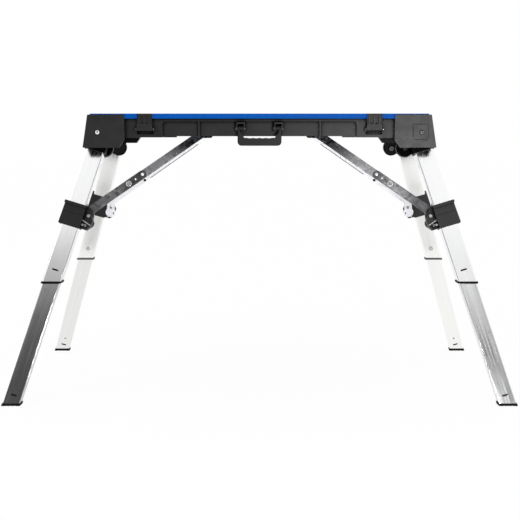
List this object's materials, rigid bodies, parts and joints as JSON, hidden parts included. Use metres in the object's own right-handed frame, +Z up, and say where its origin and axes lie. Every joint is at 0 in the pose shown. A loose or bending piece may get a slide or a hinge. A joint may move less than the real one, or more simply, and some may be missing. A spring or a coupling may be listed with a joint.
{
  "type": "workbench",
  "caption": "Folding portable workbench: flat blue work surface on a black moulded frame with a carrying handle, splayed telescoping aluminium legs, each held by a jointed folding brace.",
  "frame": {"origin": "centre of the footprint, on the floor under the feet", "axes": "+X along the bench to the right, -Y to the side with the handle, +Z up"},
  "size_m": [1.5252, 0.7388, 0.855],
  "materials": {
    "top_blue": "satin blue board",
    "moulded_black": "fine moulded grain",
    "housing_black": "fine moulded grain",
    "handle_black": "satin moulded",
    "bracket_black": "black powder coat",
    "tube_outer": "natural anodised",
    "tube_inner": "drawn, lengthwise grain",
    "ring_black": "satin moulded",
    "head_black": "satin moulded",
    "collar_black": "satin moulded",
    "brace_zinc": "galvanised, spangled",
    "fastener_steel": "bright zinc",
    "button_steel": "bright",
    "foot_rubber": "matte"
  },
  "bodies": {
    "bench": {"work_top": "top_blue", "front_rail": "moulded_black", "rear_rail": "moulded_black", "end_rail_right": "moulded_black", "end_rail_left": "moulded_black", "housing_front_right": "housing_black", "housing_front_left": "housing_black", "housing_rear_right": "housing_black", "housing_rear_left": "housing_black", "housing_bolts": "fastener_steel", "hinge_beam_right": "bracket_black", "hinge_beam_left": "bracket_black", "anchor_bar_right": "bracket_black", "anchor_bar_left": "bracket_black", "pivot_bolts": "fastener_steel", "anchor_pins": "fastener_steel", "rail_pins": "fastener_steel"},
    "handle": {"handle": "handle_black"},
    "latch_right": {"latch_right": "handle_black"},
    "latch_left": {"latch_left": "handle_black"},
    "leg_front_right": {"outer_tube_front_right": "tube_outer", "end_ring_front_right": "ring_black", "leg_head_front_right": "head_black", "brace_collar_front_right": "collar_black", "collar_bolts_front_right": "fastener_steel"},
    "lower_leg_front_right": {"inner_tube_front_right": "tube_inner", "foot_front_right": "foot_rubber"},
    "lower_link_front_right": {"lower_link_front_right": "brace_zinc"},
    "upper_link_front_right": {"upper_link_front_right": "brace_zinc"},
    "button_front_right": {"lock_button_front_right": "button_steel"},
    "leg_front_left": {"outer_tube_front_left": "tube_outer", "end_ring_front_left": "ring_black", "leg_head_front_left": "head_black", "brace_collar_front_left": "collar_black", "collar_bolts_front_left": "fastener_steel"},
    "lower_leg_front_left": {"inner_tube_front_left": "tube_inner", "foot_front_left": "foot_rubber"},
    "lower_link_front_left": {"lower_link_front_left": "brace_zinc"},
    "upper_link_front_left": {"upper_link_front_left": "brace_zinc"},
    "button_front_left": {"lock_button_front_left": "button_steel"},
    "leg_rear_right": {"outer_tube_rear_right": "tube_outer", "end_ring_rear_right": "ring_black", "leg_head_rear_right": "head_black", "brace_collar_rear_right": "collar_black", "collar_bolts_rear_right": "fastener_steel"},
    "lower_leg_rear_right": {"inner_tube_rear_right": "tube_inner", "foot_rear_right": "foot_rubber"},
    "lower_link_rear_right": {"lower_link_rear_right": "brace_zinc"},
    "upper_link_rear_right": {"upper_link_rear_right": "brace_zinc"},
    "button_rear_right": {"lock_button_rear_right": "button_steel"},
    "leg_rear_left": {"outer_tube_rear_left": "tube_outer", "end_ring_rear_left": "ring_black", "leg_head_rear_left": "head_black", "brace_collar_rear_left": "collar_black", "collar_bolts_rear_left": "fastener_steel"},
    "lower_leg_rear_left": {"inner_tube_rear_left": "tube_inner", "foot_rear_left": "foot_rubber"},
    "lower_link_rear_left": {"lower_link_rear_left": "brace_zinc"},
    "upper_link_rear_left": {"upper_link_rear_left": "brace_zinc"},
    "button_rear_left": {"lock_button_rear_left": "button_steel"}
  },
  "joints": [
    {"name": "handle_swing", "type": "hinge", "parent": "bench", "child": "handle", "pos_m": [0, -0.2555, 0.811], "axis": [-1, 0, 0], "range_deg": [0, 95]},
    {"name": "latch_right_open", "type": "hinge", "parent": "bench", "child": "latch_right", "pos_m": [0.3395, -0.2525, 0.809], "axis": [1, 0, 0], "range_deg": [0, 100]},
    {"name": "latch_left_open", "type": "hinge", "parent": "bench", "child": "latch_left", "pos_m": [-0.3395, -0.2525, 0.809], "axis": [1, 0, 0], "range_deg": [0, 100]},
    {"name": "fold_front_right", "type": "hinge", "parent": "bench", "child": "leg_front_right", "pos_m": [0.4465, -0.17066, 0.757], "axis": [0, 0.9716, -0.2366], "range_deg": [0, 107.03]},
    {"name": "extend_front_right", "type": "slide", "parent": "leg_front_right", "child": "lower_leg_front_right", "axis": [-0.2928, 0.2262, 0.929], "range_m": [0, 0.3716]},
    {"name": "upper_link_turn_front_right", "type": "hinge", "parent": "bench", "child": "upper_link_front_right", "pos_m": [0.175, -0.15939, 0.8033], "axis": [0, -0.9716, 0.2366], "range_deg": [0, 34.74]},
    {"name": "lower_link_turn_front_right", "type": "hinge", "parent": "leg_front_right", "child": "lower_link_front_right", "pos_m": [0.5167, -0.22151, 0.5482], "axis": [0, 0.9716, -0.2366], "range_deg": [0, 19.15]},
    {"name": "press_front_right", "type": "slide", "parent": "leg_front_right", "child": "button_front_right", "axis": [0, -0.9716, 0.2366], "range_m": [0, 0.0015], "stiffness_N_per_m": 900, "springref_m": -0.003},
    {"name": "fold_front_left", "type": "hinge", "parent": "bench", "child": "leg_front_left", "pos_m": [-0.477, -0.17066, 0.757], "axis": [0, -0.9716, 0.2366], "range_deg": [0, 107.03]},
    {"name": "extend_front_left", "type": "slide", "parent": "leg_front_left", "child": "lower_leg_front_left", "axis": [0.2928, 0.2262, 0.929], "range_m": [0, 0.3716]},
    {"name": "upper_link_turn_front_left", "type": "hinge", "parent": "bench", "child": "upper_link_front_left", "pos_m": [-0.175, -0.15939, 0.8033], "axis": [0, 0.9716, -0.2366], "range_deg": [0, 35.55]},
    {"name": "lower_link_turn_front_left", "type": "hinge", "parent": "leg_front_left", "child": "lower_link_front_left", "pos_m": [-0.5167, -0.22151, 0.5482], "axis": [0, -0.9716, 0.2366], "range_deg": [0, 25.43]},
    {"name": "press_front_left", "type": "slide", "parent": "leg_front_left", "child": "button_front_left", "axis": [0, -0.9716, 0.2366], "range_m": [0, 0.0015], "stiffness_N_per_m": 900, "springref_m": -0.003},
    {"name": "fold_rear_right", "type": "hinge", "parent": "bench", "child": "leg_rear_right", "pos_m": [0.4465, 0.17066, 0.757], "axis": [0, 0.9716, 0.2366], "range_deg": [0, 107.03]},
    {"name": "extend_rear_right", "type": "slide", "parent": "leg_rear_right", "child": "lower_leg_rear_right", "axis": [-0.2928, -0.2262, 0.929], "range_m": [0, 0.3716]},
    {"name": "upper_link_turn_rear_right", "type": "hinge", "parent": "bench", "child": "upper_link_rear_right", "pos_m": [0.175, 0.15939, 0.8033], "axis": [0, -0.9716, -0.2366], "range_deg": [0, 34.74]},
    {"name": "lower_link_turn_rear_right", "type": "hinge", "parent": "leg_rear_right", "child": "lower_link_rear_right", "pos_m": [0.5167, 0.22151, 0.5482], "axis": [0, 0.9716, 0.2366], "range_deg": [0, 19.15]},
    {"name": "press_rear_right", "type": "slide", "parent": "leg_rear_right", "child": "button_rear_right", "axis": [0, 0.9716, 0.2366], "range_m": [0, 0.0015], "stiffness_N_per_m": 900, "springref_m": -0.003},
    {"name": "fold_rear_left", "type": "hinge", "parent": "bench", "child": "leg_rear_left", "pos_m": [-0.477, 0.17066, 0.757], "axis": [0, -0.9716, -0.2366], "range_deg": [0, 107.03]},
    {"name": "extend_rear_left", "type": "slide", "parent": "leg_rear_left", "child": "lower_leg_rear_left", "axis": [0.2928, -0.2262, 0.929], "range_m": [0, 0.3716]},
    {"name": "upper_link_turn_rear_left", "type": "hinge", "parent": "bench", "child": "upper_link_rear_left", "pos_m": [-0.175, 0.15939, 0.8033], "axis": [0, 0.9716, 0.2366], "range_deg": [0, 35.55]},
    {"name": "lower_link_turn_rear_left", "type": "hinge", "parent": "leg_rear_left", "child": "lower_link_rear_left", "pos_m": [-0.5167, 0.22151, 0.5482], "axis": [0, -0.9716, -0.2366], "range_deg": [0, 25.43]},
    {"name": "press_rear_left", "type": "slide", "parent": "leg_rear_left", "child": "button_rear_left", "axis": [0, 0.9716, 0.2366], "range_m": [0, 0.0015], "stiffness_N_per_m": 900, "springref_m": -0.003}
  ],
  "couplings": [
    {"joint": "upper_link_turn_front_right", "follows": "fold_front_right", "ratio": 0.31991},
    {"joint": "lower_link_turn_front_right", "follows": "fold_front_right", "ratio": 0.17429},
    {"joint": "upper_link_turn_front_left", "follows": "fold_front_left", "ratio": 0.32753},
    {"joint": "lower_link_turn_front_left", "follows": "fold_front_left", "ratio": 0.23288},
    {"joint": "upper_link_turn_rear_right", "follows": "fold_rear_right", "ratio": 0.31991},
    {"joint": "lower_link_turn_rear_right", "follows": "fold_rear_right", "ratio": 0.17429},
    {"joint": "upper_link_turn_rear_left", "follows": "fold_rear_left", "ratio": 0.32753},
    {"joint": "lower_link_turn_rear_left", "follows": "fold_rear_left", "ratio": 0.23288}
  ]
}
